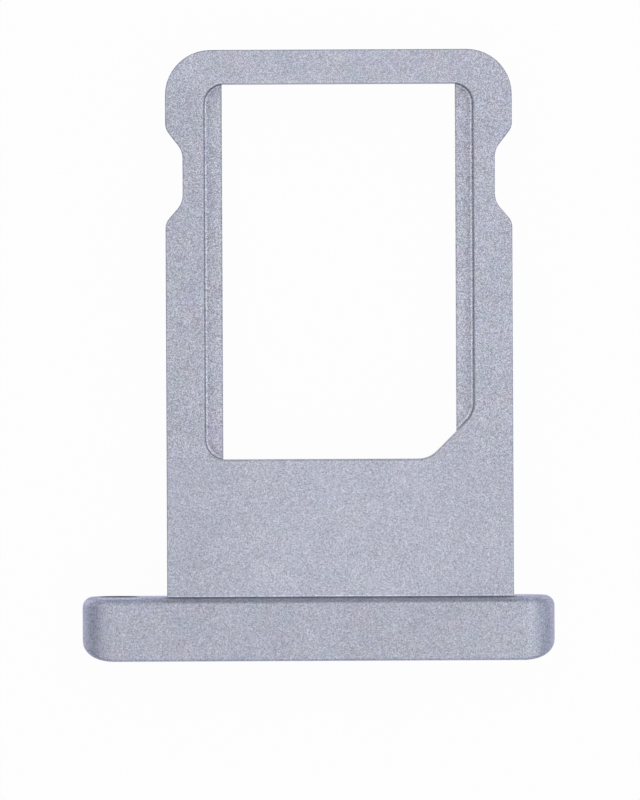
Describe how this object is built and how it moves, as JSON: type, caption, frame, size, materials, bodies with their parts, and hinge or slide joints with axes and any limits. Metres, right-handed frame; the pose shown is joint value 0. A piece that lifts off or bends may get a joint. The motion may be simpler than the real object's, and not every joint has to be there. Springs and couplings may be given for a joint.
{
  "type": "sim card tray",
  "caption": "Flat metal tray that carries a nano card into a phone or tablet, with a stepped pocket, side notches and a rounded outer bar with an eject hole.",
  "frame": {"origin": "under the middle of the whole tray, level with the lowest line of the outer bar", "axes": "+Y the way the tray slides in, with the outer bar at -Y; +Z the side that the card is laid in from; +X to the right when seen from above with the nose away"},
  "size_m": [0.0156, 0.0202, 0.0022],
  "materials": {
    "anodised_aluminium": "fine bead-blasted and anodised grey, satin"
  },
  "bodies": {
    "root": {"sim_tray": "anodised_aluminium"}
  },
  "joints": []
}
